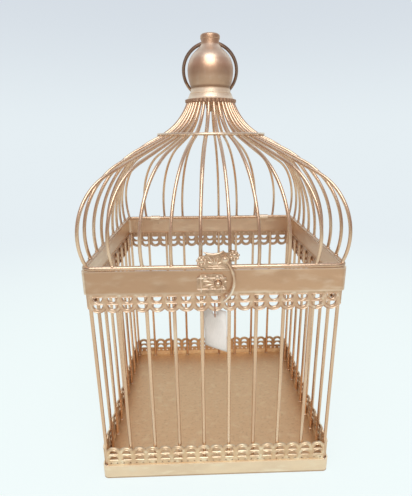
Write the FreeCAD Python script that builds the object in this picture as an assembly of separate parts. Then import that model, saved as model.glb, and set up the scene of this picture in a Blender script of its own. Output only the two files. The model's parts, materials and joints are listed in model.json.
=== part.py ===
import FreeCAD
import Part
import math
import os

from FreeCAD import Vector

# Driving sizes of the box, in millimetres
BOX_W = 220.0
CORNER_R = 5.0
SHEET = 1.2
SKIRT_H = 14.0
HEM_W = 9.0
FLOOR_TOP = 9.0
BAND_TOP = 211.7
BAND_H = 20.2

# Wire bars of the four sides
BAR_D = 3.2
BAR_SPACES = 9
BAR_TOP_COVER = 1.5

# Pierced scalloped strips
LACE_T = 1.4
LACE_H = 20.0
LACE_PITCH = 12.3
LACE_FOOT = 5.5
LACE_UPPER_COVER = 3.0
LACE_END_GAP = 0.2
SCALLOP_RISE = 3.0
DOT_D = 1.8
DOT_DROP = 18.0
ROW_A_DROP = 14.3
ROW_B_DROP = 7.9
OPENING_W = 8.6
OPENING_H = 5.0

# Lid frame, ribs and hoop
ROD_D = 4.0
ROD_BEND_R = 6.0
ROD_LIFT = 0.1
RIB_D = 2.9
RIB_LEAN_MID = 2.2
RIB_LEAN_CORNER = 23.6
RIB_SLOPE_MID = 24.5
RIB_SLOPE_CORNER = 22.4
RIB_HOOP_R = 51.4
RIB_HOOP_Z = 316.0
RIB_TOP_R = 22.4
RIB_TOP_SPREAD = 0.35
HOOP_D = 2.1
HOOP_NORMAL = 23.5

# Finial on the crown of the dome
CROWN_Z = 347.4
CROWN_T = 2.5
CROWN_R = 24.0
CROWN_BEADS = 36
BEAD_RISE = 0.8
COLLAR_H = 10.0
COLLAR_BOTTOM_R = 21.6
COLLAR_TIER_R = 20.5
COLLAR_STEP = 0.9
COLLAR_TOP_R = 19.0
COLLAR_WALL = 1.6
BALL_R = 21.8
BALL_CENTRE_RISE = 15.6
BALL_FOOT_IN = 3.5
BALL_WALL = 1.4
NECK_R = 8.8
NECK_FLARE = 5.2
NECK_H = 5.6
NECK_BAND = 4.4
KNOB_R = 9.2
KNOB_LIP = 0.5
KNOB_H = 4.6
KNOB_EDGE = 2.2
STUD_D = 5.0
STUD_TAIL = 8.0
STUD_GRIP = 3.0
NUT_AF = 8.0
NUT_H = 4.0
WASHER_R = 6.0
WASHER_T = 1.2

# Carrying ring through the neck of the finial
RING_R = 26.0
RING_WIRE_D = 3.2
RING_REST_GAP = 0.3

# Hinge straps curled round the back rod of the lid
STRAP_W = 12.0
STRAP_T = 1.0
STRAP_DROP = 14.0
STRAP_CURL = 215.0
STRAP_BAY = 3
RIVET_D = 2.2
RIVET_HEAD_D = 4.0
RIVET_HEAD_T = 0.9
RIVET_TAIL = 0.6
STRAP_RIVET_DROP = 5.0
STRAP_RIVET_SPREAD = 3.2

# Latch on the front
HASP_X = 2.0
HASP_T = 1.2
HASP_BODY_HALF = 11.0
HASP_BOTTOM_RISE = 0.4
HASP_EAR_REACH = 17.0
HASP_EAR_RISE = 10.1
HASP_EAR_TILT = 2.1
HASP_EAR_R = 4.6
HASP_TOP_HALF = 8.5
HASP_TOP_RISE = 16.9
HASP_TOP_SHIFT = -4.0
HASP_NOTCH = 2.2
HASP_DIP = 2.4
HASP_RIVET_X = 13.4
PIVOT_X = 7.6
PIVOT_RISE = 10.1
HOOK_D = 2.8
HOOK_EYE_R = 3.0
HOOK_BOW_X = 15.2
HOOK_BOW_DROP = 8.7
HOOK_TIP_X = 7.2
HOOK_TIP_DROP = 25.3
CATCH_X = -3.4
CATCH_W = 24.6
CATCH_H = 17.0
CATCH_RISE = 0.2
CATCH_T = 0.8
CATCH_CUSP_R = 3.0
CATCH_RIVET_INSET = 7.4
STUD_X = 2.0
STUD_DROP = 11.1
CATCH_STUD_D = 3.4
CATCH_STUD_BALL_D = 5.0
CATCH_STUD_REACH = 2.4

# Paper tag hung inside the front
TAG_W = 24.6
TAG_H = 40.5
TAG_T = 0.5
TAG_HOLE_D = 4.0
TAG_HOLE_INSET = 4.0
TAG_YAW = -37.0
LOOP_X = -0.5
LOOP_R = 7.2
LOOP_CORD_D = 0.9
LOOP_GAP = 0.5

# Clearances
SEAT = 0.05
RUN = 0.05
SLIP = 0.1
FREE = 0.2

# Sizes that follow from those above
ORIGIN = Vector(0, 0, 0)
ACROSS = Vector(1, 0, 0)
BACK = Vector(0, 1, 0)
UP = Vector(0, 0, 1)
SIDES = ("front", "right", "back", "left")
HALF = BOX_W / 2
INNER = HALF - SHEET
INNER_CORNER_R = CORNER_R - SHEET
BAND_BOTTOM = BAND_TOP - BAND_H
LACE_FACE = INNER - SEAT
LACE_BACK = LACE_FACE - LACE_T
LACE_HALF = INNER - INNER_CORNER_R - LACE_END_GAP
LACE_COUNT = max(1, round(2 * LACE_HALF / LACE_PITCH))
LACE_STEP = 2 * LACE_HALF / LACE_COUNT
LACE_UPPER_Z = BAND_BOTTOM + LACE_UPPER_COVER
LACE_UPPER_TIP = LACE_UPPER_Z - LACE_H
LACE_LOWER_TIP = FLOOR_TOP + LACE_FOOT + LACE_H
BAR_R = BAR_D / 2
BAR_LINE = LACE_BACK - SEAT - BAR_R
BAR_PITCH = 2 * BAR_LINE / BAR_SPACES
ROD_R = ROD_D / 2
RIB_R = RIB_D / 2
ROD_LINE = HALF - ROD_R
ROD_Z = BAND_TOP + ROD_R + ROD_LIFT
ROD_CORNER = ROD_LINE - ROD_BEND_R * (1 - math.sqrt(0.5))
RIB_PITCH = 2 * ROD_LINE / BAR_SPACES
CROWN_TOP = CROWN_Z + CROWN_T
COLLAR_TOP = CROWN_TOP + COLLAR_H
BALL_Z = COLLAR_TOP + BALL_CENTRE_RISE
SHOULDER_R = NECK_R + NECK_FLARE
SHOULDER_RISE = math.sqrt(BALL_R ** 2 - SHOULDER_R ** 2)
BALL_TOP = BALL_Z + SHOULDER_RISE
NECK_Z = BALL_TOP + NECK_H
KNOB_Z = NECK_Z + NECK_BAND
RING_Z = NECK_Z + NECK_BAND / 2
FRONT_FACE = -HALF - SEAT
HASP_BACK = FRONT_FACE - SEAT
HASP_FRONT = HASP_BACK - HASP_T
HOOK_Y = HASP_FRONT - RIVET_HEAD_T - 2 * FREE - HOOK_D / 2
PIVOT_Z = BAND_TOP + PIVOT_RISE
CATCH_FRONT = FRONT_FACE - CATCH_T
STRAP_X = STRAP_BAY * RIB_PITCH


def turned(shape, quarter):
    """Copy of a front piece turned to another side of the box."""
    copy = shape.copy()
    copy.rotate(ORIGIN, UP, 90 * quarter)
    return copy


def line(start, end):
    return Part.LineSegment(start, end).toShape()


def arc(start, middle, end):
    return Part.Arc(start, middle, end).toShape()


def plate(wires, thickness):
    """Sheet in the XZ plane from an outline and its holes, thickened toward the back."""
    face = Part.makeFace(wires, "Part::FaceMakerBullseye")
    return face.extrude(BACK * thickness)


def turning(points_and_arcs):
    """Solid of revolution about Z from the edges of its half profile."""
    face = Part.Face(Part.Wire(points_and_arcs))
    return face.revolve(ORIGIN, UP, 360)


def tube(path, radius, start, direction):
    """Round wire along a path of lines and tangent arcs."""
    circle = Part.Wire(Part.makeCircle(radius, start, direction))
    return path.makePipeShell([circle], True, False)


def rounded_square(half, radius, z):
    flat = half - radius
    diagonal = flat + radius * math.sqrt(0.5)
    edges = []
    for quarter in range(len(SIDES)):
        straight = line(Vector(-flat, -half, z), Vector(flat, -half, z))
        corner = arc(Vector(flat, -half, z), Vector(diagonal, -diagonal, z), Vector(half, -flat, z))
        edges += [turned(straight, quarter), turned(corner, quarter)]
    return Part.Wire(edges)


def block(half, radius, z, height):
    return Part.Face(rounded_square(half, radius, z)).extrude(UP * height)


def square_ring(half, radius, width, z, height):
    """Upright or flat square band with rounded corners."""
    inside = block(half - width, max(radius - width, RUN), z, height)
    return block(half, radius, z, height).cut(inside)


def rivet_hole(x, z, depth_from, depth_to):
    """Cylinder through the front sheets between two depths."""
    return Part.makeCylinder(RIVET_D / 2 + RUN, depth_to - depth_from, Vector(x, depth_from, z), BACK)


def rivet(x, z, head_face, tail_face):
    """Rivet with its head against the front face and a short tail behind the sheets."""
    head_start = Vector(x, head_face - RIVET_HEAD_T, z)
    head = Part.makeCylinder(RIVET_HEAD_D / 2, RIVET_HEAD_T, head_start, BACK)
    reach = tail_face + RIVET_TAIL - head_face
    return head.fuse(Part.makeCylinder(RIVET_D / 2, reach, Vector(x, head_face, z), BACK)).removeSplitter()


# Places of the rivets: across and up on the front, and the same on the back
STRAP_RIVET_Z = BAND_TOP - STRAP_RIVET_DROP
STRAP_RIVETS = [side * STRAP_X + way * STRAP_RIVET_SPREAD for side in (-1, 1) for way in (-1, 1)]
CATCH_RIVET_Z = BAND_TOP - CATCH_RIVET_INSET + RIVET_D / 2
CATCH_RIVETS = [CATCH_X + side * (CATCH_W / 2 - CATCH_RIVET_INSET) for side in (-1, 1)]
CATCH_STUD_Z = BAND_TOP - STUD_DROP


def base_skirt():
    wall = square_ring(HALF, CORNER_R, SHEET, 0, SKIRT_H)
    hem = square_ring(HALF, CORNER_R, HEM_W, 0, SHEET)
    return wall.fuse(hem).removeSplitter()


def floor_pan():
    """Pressed floor with its edges turned down onto the hem of the skirt."""
    half = INNER - SLIP
    radius = INNER_CORNER_R - SLIP
    outside = block(half, radius, SHEET, FLOOR_TOP - SHEET)
    inside = block(half - SHEET, max(radius - SHEET, RUN), SHEET, FLOOR_TOP - 2 * SHEET)
    return outside.cut(inside)


def top_band():
    band = square_ring(HALF, CORNER_R, SHEET, BAND_BOTTOM, BAND_H)
    through = [rivet_hole(x, CATCH_RIVET_Z, -HALF - SHEET, -INNER + SHEET) for x in CATCH_RIVETS]
    back = [turned(rivet_hole(x, STRAP_RIVET_Z, -HALF - SHEET, -INNER + SHEET), 2) for x in STRAP_RIVETS]
    stud_start = Vector(STUD_X, -HALF - SHEET, CATCH_STUD_Z)
    stud = Part.makeCylinder(CATCH_STUD_D / 2 + RUN, 2 * SHEET, stud_start, BACK)
    return band.cut(through + back + [stud])


def lace_outline(edge_z, tip, way):
    """Straight edge, two ends and a row of scallops, rising or hanging from the straight edge."""
    y = -LACE_FACE
    valley = tip - way * SCALLOP_RISE
    corners = [Vector(x, y, z) for x, z in ((-LACE_HALF, valley), (-LACE_HALF, edge_z),
                                            (LACE_HALF, edge_z), (LACE_HALF, valley))]
    edges = [line(a, b) for a, b in zip(corners, corners[1:])]
    for k in range(LACE_COUNT):
        right = LACE_HALF - k * LACE_STEP
        middle = Vector(right - LACE_STEP / 2, y, tip)
        edges.append(arc(Vector(right, y, valley), middle, Vector(right - LACE_STEP, y, valley)))
    return Part.Wire(edges)


def lace_openings(tip, way):
    """Two rows of D-shaped openings and a border of small round holes."""
    y = -LACE_FACE
    wires = []
    for k in range(LACE_COUNT):
        centre = -LACE_HALF + (k + 0.5) * LACE_STEP
        left = centre - OPENING_W / 2
        right = centre + OPENING_W / 2
        for drop in (ROW_A_DROP, ROW_B_DROP):
            flat = tip - way * drop
            crown = Vector(centre, y, flat + way * OPENING_H)
            chord = line(Vector(left, y, flat), Vector(right, y, flat))
            wires.append(Part.Wire([chord, arc(Vector(right, y, flat), crown, Vector(left, y, flat))]))
        for offset in (-LACE_STEP / 4, LACE_STEP / 4):
            dot = Part.makeCircle(DOT_D / 2, Vector(centre + offset, y, tip - way * DOT_DROP), BACK)
            wires.append(Part.Wire(dot))
    return wires


def lace_strip(edge_z, tip, way):
    return plate([lace_outline(edge_z, tip, way)] + lace_openings(tip, way), LACE_T)


def bar(x, y):
    height = BAND_BOTTOM + BAR_TOP_COVER - FLOOR_TOP
    return Part.makeCylinder(BAR_R, height, Vector(x, y, FLOOR_TOP))


def side_bars():
    return Part.makeCompound([bar(-BAR_LINE + k * BAR_PITCH, -BAR_LINE) for k in range(1, BAR_SPACES)])


def corner_posts():
    return Part.makeCompound([turned(bar(-BAR_LINE, -BAR_LINE), quarter) for quarter in range(len(SIDES))])


def lid_frame():
    """Round rod bent to a square."""
    path = rounded_square(ROD_LINE, ROD_BEND_R, ROD_Z)
    start = Vector(-ROD_LINE + ROD_BEND_R, -ROD_LINE, ROD_Z)
    return tube(path, ROD_R, start, ACROSS)


def rib_points(base_r, hoop_r, corner_share):
    """Path of a rib in reach from its top and height: base arc, straight run, hollow arc to the crown."""
    lean = math.radians(RIB_LEAN_MID + (RIB_LEAN_CORNER - RIB_LEAN_MID) * corner_share)
    slope = math.radians(RIB_SLOPE_MID + (RIB_SLOPE_CORNER - RIB_SLOPE_MID) * corner_share)
    base_z = ROD_Z + ROD_R + SEAT + RIB_R * math.sin(lean)
    top_z = CROWN_Z - SEAT - RIB_R / 2
    reach = hoop_r - base_r
    rise = RIB_HOOP_Z - base_z
    across = math.sin(slope) - math.cos(lean)
    upward = math.sin(lean) + math.cos(slope)
    turn = across * math.sin(slope) + upward * math.cos(slope)
    bend = (reach * math.sin(slope) + rise * math.cos(slope)) / turn

    def on_base(angle):
        return (base_r + bend * (math.sin(angle) - math.cos(lean)),
                base_z + bend * (math.sin(lean) - math.cos(angle)))

    first = math.pi / 2 - lean
    last = math.pi - slope
    chord = math.atan2(top_z - RIB_HOOP_Z, -hoop_r)
    half_turn = last - chord
    hollow = math.hypot(top_z - RIB_HOOP_Z, hoop_r) / (2 * math.sin(half_turn))
    middle = (hoop_r + hollow * (math.sin(last) - math.sin(chord)),
              RIB_HOOP_Z + hollow * (math.cos(chord) - math.cos(last)))
    return [(base_r, base_z), on_base((first + last) / 2), on_base(last),
            (hoop_r, RIB_HOOP_Z), middle, (0, top_z)], lean


def rib_top(x, y):
    """Where a rib ends under the crown: near its own bearing, spread a little toward even spacing."""
    bearing = math.atan2(y, x)
    quarter_turn = math.pi / 2
    side = math.floor(bearing / quarter_turn + 0.5) * quarter_turn
    off = bearing - side
    even = math.tan(off) * quarter_turn / 2
    spread = side + off + RIB_TOP_SPREAD * (even - off)
    return Vector(RIB_TOP_R * math.cos(spread), RIB_TOP_R * math.sin(spread), 0)


def rib(x, y):
    """One rib of the dome, standing over a point of the lid rod in its own upright plane."""
    corner_share = (math.hypot(x, y) - ROD_LINE) / (math.hypot(ROD_CORNER, ROD_CORNER) - ROD_LINE)
    top = rib_top(x, y)
    outward = Vector(x, y, 0) - top
    base_r = outward.Length
    outward = outward / base_r
    along = top.dot(outward)
    hoop_r = math.sqrt(along ** 2 + RIB_HOOP_R ** 2 - RIB_TOP_R ** 2) - along
    points, lean = rib_points(base_r, hoop_r, corner_share)
    path = [top + outward * r + UP * z for r, z in points]
    wire = Part.Wire([arc(*path[0:3]), line(path[2], path[3]), arc(*path[3:6])])
    start = outward * math.sin(lean) + UP * math.cos(lean)
    return tube(wire, RIB_R, path[0], start)


def side_ribs():
    return Part.makeCompound([rib(-ROD_LINE + k * RIB_PITCH, -ROD_LINE) for k in range(1, BAR_SPACES)])


def corner_ribs():
    first = rib(-ROD_CORNER, -ROD_CORNER)
    return Part.makeCompound([turned(first, quarter) for quarter in range(len(SIDES))])


def dome_hoop():
    """Ring laid on the outside of all ribs, square to their mean slope."""
    offset = RIB_R + HOOP_D / 2 + SLIP
    radius = RIB_HOOP_R + offset * math.sin(math.radians(HOOP_NORMAL))
    height = RIB_HOOP_Z + offset * math.cos(math.radians(HOOP_NORMAL))
    return Part.makeTorus(radius, HOOP_D / 2, Vector(0, 0, height), UP)


def stud_bore(z, height):
    return Part.makeCylinder(STUD_D / 2 + SEAT, height, Vector(0, 0, z))


def crown_plate():
    """Round plate with a beaded edge that gathers the rib ends."""
    edges = []
    step = 2 * math.pi / CROWN_BEADS

    def rim(radius, angle):
        return Vector(radius * math.cos(angle), radius * math.sin(angle), CROWN_Z)

    for k in range(CROWN_BEADS):
        edges.append(arc(rim(CROWN_R, k * step), rim(CROWN_R + BEAD_RISE, (k + 0.5) * step),
                         rim(CROWN_R, (k + 1) * step)))
    disc = Part.Face(Part.Wire(edges)).extrude(UP * CROWN_T)
    return disc.cut(stud_bore(CROWN_Z, CROWN_T))


def finial_collar():
    """Hollow flared collar in two tiers with a web at its top."""
    step_z = CROWN_TOP + COLLAR_H / 2
    points = [Vector(r, 0, z) for r, z in (
        (0, CROWN_TOP), (COLLAR_BOTTOM_R, CROWN_TOP), (COLLAR_TIER_R, step_z),
        (COLLAR_TIER_R - COLLAR_STEP, step_z), (COLLAR_TOP_R, COLLAR_TOP), (0, COLLAR_TOP))]
    outside = turning([line(a, b) for a, b in zip(points, points[1:] + points[:1])])
    hollow_r = min(COLLAR_TIER_R - COLLAR_STEP, COLLAR_TOP_R) - COLLAR_WALL
    hollow = Part.makeCylinder(hollow_r, COLLAR_H - COLLAR_WALL, points[0])
    return outside.cut([hollow, stud_bore(CROWN_TOP, COLLAR_H)])


def finial_ball():
    """Hollow ball, drawn out below toward the collar and open under the neck."""
    lower_r = (BALL_FOOT_IN ** 2 + BALL_CENTRE_RISE ** 2) / (2 * BALL_FOOT_IN)
    lower_half = math.asin(BALL_CENTRE_RISE / lower_r) / 2
    upper_half = (math.pi / 2 + math.asin(SHOULDER_R / BALL_R)) / 2

    def skin(inset):
        return [Vector(r - inset, 0, z) for r, z in (
            (BALL_R - BALL_FOOT_IN, COLLAR_TOP),
            (BALL_R - lower_r * (1 - math.cos(lower_half)), BALL_Z - lower_r * math.sin(lower_half)),
            (BALL_R, BALL_Z), (BALL_R * math.sin(upper_half), BALL_Z + BALL_R * math.cos(upper_half)),
            (SHOULDER_R, BALL_TOP))]

    outer, inner = skin(0), skin(BALL_WALL)
    edges = [arc(*outer[0:3]), arc(*outer[2:5]), line(outer[4], inner[4])]
    edges += [arc(*inner[4:1:-1]), arc(*inner[2::-1]), line(inner[0], outer[0])]
    return turning(edges)


def finial_knob():
    """Neck and knob in one turned piece, bored across for the ring and from below for the stud."""
    knob_top = KNOB_Z + KNOB_H
    points = [Vector(r, 0, z) for r, z in (
        (0, BALL_TOP), (SHOULDER_R, BALL_TOP), (NECK_R, NECK_Z), (NECK_R, KNOB_Z),
        (KNOB_R, KNOB_Z + KNOB_LIP), (KNOB_R, knob_top - KNOB_EDGE),
        (KNOB_R - KNOB_EDGE, knob_top), (0, knob_top))]
    flare = points[2] - points[1]
    leaving = math.atan2(SHOULDER_R, -SHOULDER_RISE) - math.atan2(flare.z, flare.x)
    hollow = points[1] + flare / 2 + Vector(-flare.z, 0, flare.x) * (math.tan(leaving / 2) / 2)
    round_in = KNOB_EDGE * (1 - math.sqrt(0.5))
    edge = Vector(KNOB_R - round_in, 0, knob_top - round_in)
    edges = [line(points[0], points[1]), arc(points[1], hollow, points[2])]
    edges += [line(points[k], points[k + 1]) for k in (2, 3, 4)]
    edges += [arc(points[5], edge, points[6]), line(points[6], points[7]), line(points[7], points[0])]
    return turning(edges).cut([ring_hole(SHOULDER_R), stud_bore(BALL_TOP, STUD_GRIP + SEAT)])


def ring_hole(reach):
    """Cross hole that widens toward both mouths as the ring curves away from its axis."""
    waist = RING_WIRE_D / 2 + FREE
    mouth = waist + RING_R - math.sqrt(RING_R ** 2 - reach ** 2)
    left, right = Vector(-reach, 0, RING_Z), Vector(reach, 0, RING_Z)
    left_lip, right_lip = left + UP * mouth, right + UP * mouth
    flare = arc(right_lip, Vector(0, 0, RING_Z + waist), left_lip)
    profile = Part.Wire([line(left, right), line(right, right_lip), flare, line(left_lip, left)])
    return Part.Face(profile).revolve(Vector(0, 0, RING_Z), ACROSS, 360)


def finial_stud():
    start = CROWN_Z - STUD_TAIL
    return Part.makeCylinder(STUD_D / 2, BALL_TOP + STUD_GRIP - start, Vector(0, 0, start))


def finial_washer():
    start = CROWN_Z - WASHER_T
    return Part.makeCylinder(WASHER_R, WASHER_T, Vector(0, 0, start)).cut(stud_bore(start, WASHER_T))


def finial_nut():
    start = CROWN_Z - WASHER_T - NUT_H
    corner = NUT_AF / math.sqrt(3)
    turns = [k * math.pi / 3 for k in range(7)]
    points = [Vector(corner * math.cos(turn), corner * math.sin(turn), start) for turn in turns]
    return Part.Face(Part.makePolygon(points)).extrude(UP * NUT_H).cut(stud_bore(start, NUT_H))


def ring_tilt():
    """Backward lean at which the hanging ring comes to rest on the edge of the crown plate."""
    rim = CROWN_R + BEAD_RISE
    drop = RING_Z - CROWN_TOP
    far = 2 * RING_R
    to_rim = math.hypot(rim, drop)
    stand_off = RING_WIRE_D / 2 + RING_REST_GAP
    cosine = (far ** 2 + to_rim ** 2 - stand_off ** 2) / (2 * far * to_rim)
    return math.atan2(rim, drop) + math.acos(max(-1.0, min(1.0, cosine)))


def carry_ring():
    tilt = ring_tilt()
    hang = Vector(0, math.sin(tilt), -math.cos(tilt))
    normal = Vector(0, math.cos(tilt), math.sin(tilt))
    return Part.makeTorus(RING_R, RING_WIRE_D / 2, Vector(0, 0, RING_Z) + hang * RING_R, normal)


def hinge_strap(x):
    """Strap on the back of the band whose end is curled over the rod of the lid."""
    inside = ROD_R + RUN
    outside = inside + STRAP_T
    left = x - STRAP_W / 2

    def curl(radius, degrees):
        angle = math.radians(degrees)
        return Vector(left, ROD_LINE + radius * math.cos(angle), ROD_Z + radius * math.sin(angle))

    foot_z = BAND_TOP - STRAP_DROP
    outer_foot = Vector(left, ROD_LINE + outside, foot_z)
    inner_foot = Vector(left, ROD_LINE + inside, foot_z)
    edges = [line(outer_foot, curl(outside, 0)), arc(curl(outside, 0), curl(outside, STRAP_CURL / 2),
                                                     curl(outside, STRAP_CURL))]
    edges += [line(curl(outside, STRAP_CURL), curl(inside, STRAP_CURL)),
              arc(curl(inside, STRAP_CURL), curl(inside, STRAP_CURL / 2), curl(inside, 0))]
    edges += [line(curl(inside, 0), inner_foot), line(inner_foot, outer_foot)]
    strap = Part.Face(Part.Wire(edges)).extrude(ACROSS * STRAP_W)
    front = -HALF - 4 * STRAP_T
    return strap.cut([turned(rivet_hole(place, STRAP_RIVET_Z, front, -INNER), 2) for place in STRAP_RIVETS])


def strap_rivets():
    head_face = -ROD_LINE - ROD_R - RUN - STRAP_T - SEAT
    return Part.makeCompound([turned(rivet(x, STRAP_RIVET_Z, head_face, -INNER), 2) for x in STRAP_RIVETS])


def hasp_plate():
    """Winged plate standing on the front rod of the lid, with two round ears and a two-horned top."""
    y = HASP_FRONT
    bottom = BAND_TOP + HASP_BOTTOM_RISE
    top = BAND_TOP + HASP_TOP_RISE
    centre = Vector(HASP_X, y, (bottom + top) / 2)

    def at(side, across, z):
        return Vector(HASP_X + side * across, y, z)

    def horn(side):
        return at(side, HASP_TOP_HALF + side * HASP_TOP_SHIFT, top)

    def wing(side):
        ear = hasp_ear_z(side)
        low = at(side, HASP_BODY_HALF, ear - HASP_EAR_R)
        high = at(side, HASP_BODY_HALF, ear + HASP_EAR_R)
        tip = at(side, HASP_EAR_REACH, ear)
        middle = (high + horn(side)) / 2
        inward = centre - middle
        notch = middle + inward * (HASP_NOTCH / inward.Length)
        stem = line(at(side, HASP_BODY_HALF, bottom), low)
        return [stem, arc(low, tip, high), arc(high, notch, horn(side))]

    dip = arc(horn(1), at(1, HASP_TOP_SHIFT, top - HASP_DIP), horn(-1))
    foot = line(at(-1, HASP_BODY_HALF, bottom), at(1, HASP_BODY_HALF, bottom))
    outline = Part.Wire(Part.__sortEdges__([foot] + wing(1) + [dip] + wing(-1)))
    holes = [rivet_hole(x, z, HASP_FRONT, HASP_BACK) for x, z in hasp_rivet_places() + [(PIVOT_X, PIVOT_Z)]]
    return plate([outline], HASP_T).cut(holes)


def hasp_ear_z(side):
    """Height of an ear: the plate sits a little askew."""
    return BAND_TOP + HASP_EAR_RISE + side * HASP_EAR_TILT


def hasp_rivet_places():
    return [(HASP_X + side * HASP_RIVET_X, hasp_ear_z(side)) for side in (-1, 1)]


def hasp_rivets():
    """Rivets set flush behind the plate, where the ribs stand."""
    face, flush = HASP_FRONT - SEAT, HASP_BACK - RIVET_TAIL
    return Part.makeCompound([rivet(x, z, face, flush) for x, z in hasp_rivet_places()])


def hook_rivet():
    return rivet(PIVOT_X, PIVOT_Z, HOOK_Y - HOOK_D / 2 - SLIP, HASP_BACK + SEAT)


def latch_hook():
    """Bowed wire hook with an eye round the pivot rivet, made of two arcs that meet upright."""
    bow_z = BAND_TOP - HOOK_BOW_DROP
    tip_z = BAND_TOP - HOOK_TIP_DROP

    def bow(end_x, end_z):
        inset = HOOK_BOW_X - end_x
        rise = end_z - bow_z
        radius = (inset ** 2 + rise ** 2) / (2 * inset)
        half = math.asin(rise / radius) / 2
        return Vector(HOOK_BOW_X - radius * (1 - math.cos(half)), HOOK_Y, bow_z + radius * math.sin(half))

    pivot = Vector(PIVOT_X, HOOK_Y, PIVOT_Z)
    bow_point = Vector(HOOK_BOW_X, HOOK_Y, bow_z)
    tip = Vector(HOOK_TIP_X, HOOK_Y, tip_z)
    upper = arc(bow_point, bow(PIVOT_X, PIVOT_Z), pivot)
    lower = arc(tip, bow(HOOK_TIP_X, tip_z), bow_point)
    start = lower.tangentAt(lower.FirstParameter)
    wire = tube(Part.Wire([lower, upper]), HOOK_D / 2, tip, start)
    eye_front = pivot - BACK * (HOOK_D / 2)
    eye_depth = HASP_FRONT - SLIP - eye_front.y
    eye = Part.makeCylinder(HOOK_EYE_R, eye_depth, eye_front, BACK)
    ball = Part.makeSphere(HOOK_D / 2, tip)
    hole = Part.makeCylinder(RIVET_D / 2 + RUN, eye_depth, eye_front, BACK)
    return wire.fuse([eye, ball]).removeSplitter().cut(hole)


def catch_plate():
    """Plate on the band below the hasp, with hollowed corners."""
    y = CATCH_FRONT
    half = CATCH_W / 2
    low = BAND_BOTTOM + CATCH_RISE
    outline = Part.makePlane(CATCH_W, CATCH_H, Vector(CATCH_X - half, y, low), Vector(0, -1, 0), ACROSS)
    sheet = outline.extrude(BACK * CATCH_T)
    corners = [Vector(CATCH_X + side * half, y, z) for side in (-1, 1) for z in (low, low + CATCH_H)]
    cusps = [Part.makeCylinder(CATCH_CUSP_R, CATCH_T, corner, BACK) for corner in corners]
    holes = [rivet_hole(x, CATCH_RIVET_Z, CATCH_FRONT, FRONT_FACE) for x in CATCH_RIVETS]
    stud_start = Vector(STUD_X, CATCH_FRONT, CATCH_STUD_Z)
    holes.append(Part.makeCylinder(CATCH_STUD_D / 2 + RUN, CATCH_T, stud_start, BACK))
    return sheet.cut(cusps + holes)


def catch_rivets():
    return Part.makeCompound([rivet(x, CATCH_RIVET_Z, CATCH_FRONT - SEAT, -INNER) for x in CATCH_RIVETS])


def catch_stud():
    """Round-headed stud that the hook swings round."""
    head = Vector(STUD_X, CATCH_FRONT - CATCH_STUD_REACH, CATCH_STUD_Z)
    shank = Part.makeCylinder(CATCH_STUD_D / 2, -INNER - head.y, head, BACK)
    return Part.makeSphere(CATCH_STUD_BALL_D / 2, head).fuse(shank).removeSplitter()


# The loop hangs on the web under the lowest lace opening and carries the tag by its hole
WEB_TOP = LACE_UPPER_TIP + ROW_B_DROP - OPENING_H
LACE_MIDDLE = -(LACE_FACE + LACE_BACK) / 2
LOOP_SLANT = math.sqrt(0.5)
LOOP_HALF_CORD = LOOP_CORD_D / 2 / LOOP_SLANT
LOOP_TOP_Z = WEB_TOP + LOOP_HALF_CORD + LACE_T / 2 + LOOP_GAP
LOOP_REACH = LOOP_SLANT * LOOP_R
LOOP_Y = LACE_MIDDLE + LOOP_REACH
LOOP_Z = LOOP_TOP_Z - LOOP_REACH
TAG_Y = LOOP_Y + LOOP_REACH
TAG_PIVOT_Z = LOOP_Z - LOOP_REACH
TAG_HOLE_Z = TAG_PIVOT_Z - TAG_HOLE_D / 2 + LOOP_HALF_CORD + TAG_T / 2 + LOOP_GAP


def tag_loop():
    return Part.makeTorus(LOOP_R, LOOP_CORD_D / 2, Vector(LOOP_X, LOOP_Y, LOOP_Z), ACROSS)


def hang_tag():
    low = TAG_HOLE_Z + TAG_HOLE_INSET - TAG_H
    tag = Part.makeBox(TAG_W, TAG_T, TAG_H, Vector(LOOP_X - TAG_W / 2, TAG_Y - TAG_T / 2, low))
    hole_start = Vector(LOOP_X, TAG_Y - TAG_T, TAG_HOLE_Z)
    tag = tag.cut(Part.makeCylinder(TAG_HOLE_D / 2, 2 * TAG_T, hole_start, BACK))
    tag.rotate(Vector(LOOP_X, TAG_Y, TAG_HOLE_Z), UP, TAG_YAW)
    return tag


def four_sides(name, front):
    """The same piece on each side of the box, each under its own name."""
    return {f"{name}_{side}": turned(front, quarter) for quarter, side in enumerate(SIDES)}


def pieces():
    nodes = {"base_skirt": base_skirt(), "floor_pan": floor_pan(), "top_band": top_band()}
    nodes.update(four_sides("lower_lace", lace_strip(FLOOR_TOP, LACE_LOWER_TIP, 1)))
    nodes.update(four_sides("upper_lace", lace_strip(LACE_UPPER_Z, LACE_UPPER_TIP, -1)))
    nodes.update(four_sides("bars", side_bars()))
    nodes["corner_posts"] = corner_posts()
    nodes.update({"hinge_strap_left": hinge_strap(-STRAP_X), "hinge_strap_right": hinge_strap(STRAP_X)})
    nodes["strap_rivets"] = strap_rivets()
    nodes.update({"catch_plate": catch_plate(), "catch_rivets": catch_rivets(), "catch_stud": catch_stud()})
    nodes["lid_frame"] = lid_frame()
    nodes.update(four_sides("ribs", side_ribs()))
    nodes.update({"corner_ribs": corner_ribs(), "dome_hoop": dome_hoop()})
    nodes.update({"crown_plate": crown_plate(), "finial_collar": finial_collar()})
    nodes.update({"finial_ball": finial_ball(), "finial_knob": finial_knob(), "finial_stud": finial_stud()})
    nodes.update({"finial_washer": finial_washer(), "finial_nut": finial_nut(), "carry_ring": carry_ring()})
    nodes.update({"hasp_plate": hasp_plate(), "hasp_rivets": hasp_rivets()})
    nodes.update({"hook_rivet": hook_rivet(), "latch_hook": latch_hook()})
    nodes.update({"tag_loop": tag_loop(), "hang_tag": hang_tag()})
    return nodes


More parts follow.
